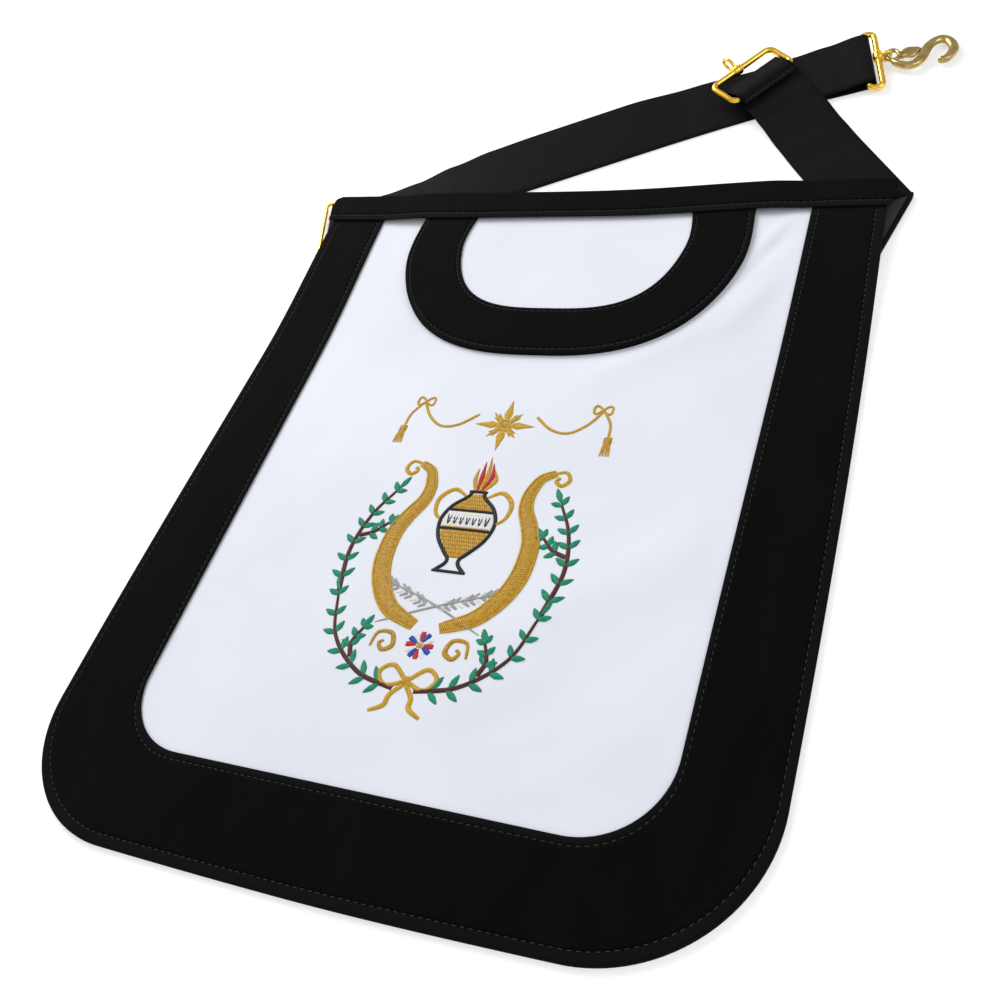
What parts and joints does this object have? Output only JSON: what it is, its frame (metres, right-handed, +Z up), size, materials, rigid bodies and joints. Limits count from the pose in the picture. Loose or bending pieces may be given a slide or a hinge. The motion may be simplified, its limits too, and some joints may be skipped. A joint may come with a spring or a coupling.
{
  "type": "lodge apron",
  "caption": "Ceremonial waist apron laid flat: white panel and rounded flap with wide black velvet borders, top band, webbing waist strap, wire rings and a snake hook.",
  "frame": {"origin": "middle of the panel's flat underside, on the surface it lies on", "axes": "+X to the viewer's right along the lower edge, +Y up to the waist edge, +Z up off the surface"},
  "size_m": [0.3517, 0.5243, 0.0161],
  "materials": {
    "white_cloth": "smooth closely woven white cloth",
    "velvet": "short black pile with a turned hem",
    "webbing": "finely ribbed black webbing",
    "gilt_wire": "polished gold-plated wire",
    "hook_brass": "satin cast brass"
  },
  "bodies": {
    "apron": {"panel": "white_cloth", "border": "velvet", "flap": "white_cloth", "flap_border": "velvet", "top_band": "velvet", "left_strap": "webbing", "right_strap": "webbing", "side_loop": "gilt_wire"},
    "keeper": {"keeper_ring": "gilt_wire"},
    "hook": {"hook_ring": "gilt_wire", "snake_hook": "hook_brass"}
  },
  "joints": [
    {"name": "keeper_ring_hinge", "type": "hinge", "parent": "apron", "child": "keeper", "pos_m": [0.08334, 0.28343, 0.0095], "axis": [0.6018, 0.7986, 0], "range_deg": [0, 150]},
    {"name": "hook_ring_hinge", "type": "hinge", "parent": "apron", "child": "hook", "pos_m": [0.13513, 0.30202, 0.00547], "axis": [0.2319, -0.9661, -0.1132], "range_deg": [0, 120]}
  ]
}
